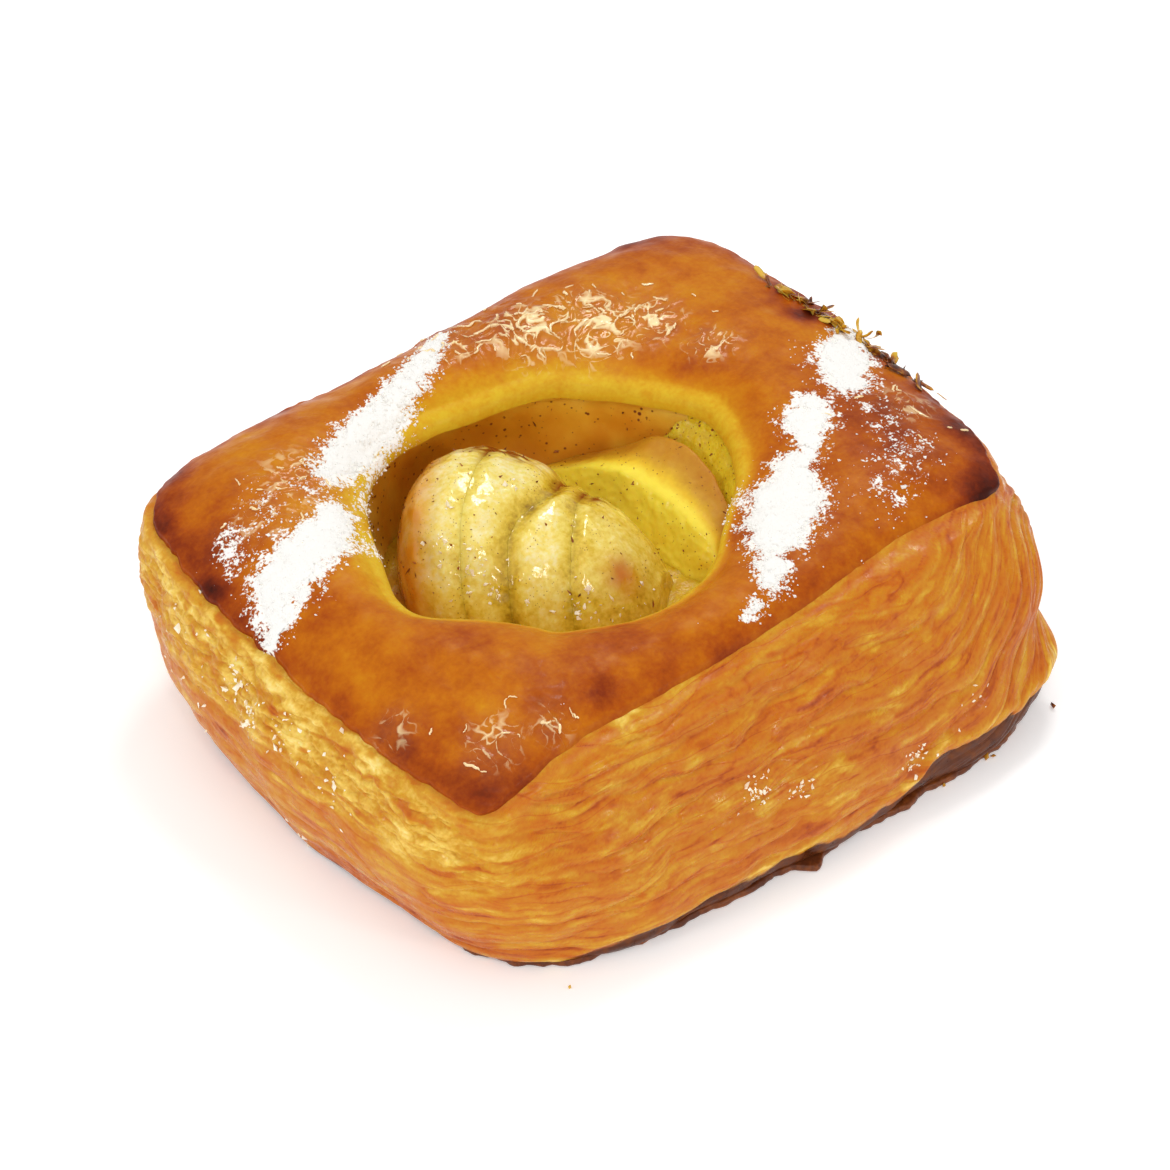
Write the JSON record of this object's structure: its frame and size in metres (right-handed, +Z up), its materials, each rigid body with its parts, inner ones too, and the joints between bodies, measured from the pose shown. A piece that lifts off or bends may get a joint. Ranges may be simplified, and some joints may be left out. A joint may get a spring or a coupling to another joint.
{
  "type": "danish pastry with custard and apple",
  "caption": "Square laminated pastry with a round open well that holds custard and sliced, peeled apple, glazed and dusted with sugar.",
  "frame": {"origin": "centre of the bounding box's underside, on the surface the pastry rests on", "axes": "+Z up, +X along the longer side, +Y towards the side that is furthest from the viewer's front corner"},
  "size_m": [0.1236, 0.1056, 0.0386],
  "materials": {
    "pastry": "glazed, browned crust on flaky sides",
    "custard": "wet, slightly grainy",
    "apple": "wet, soft, speckled with cinnamon"
  },
  "bodies": {
    "root": {"pastry_case": "pastry", "custard": "custard", "apple_slice_1": "apple", "apple_slice_2": "apple", "apple_slice_3": "apple", "apple_slice_4": "apple", "apple_slice_5": "apple"}
  },
  "joints": []
}
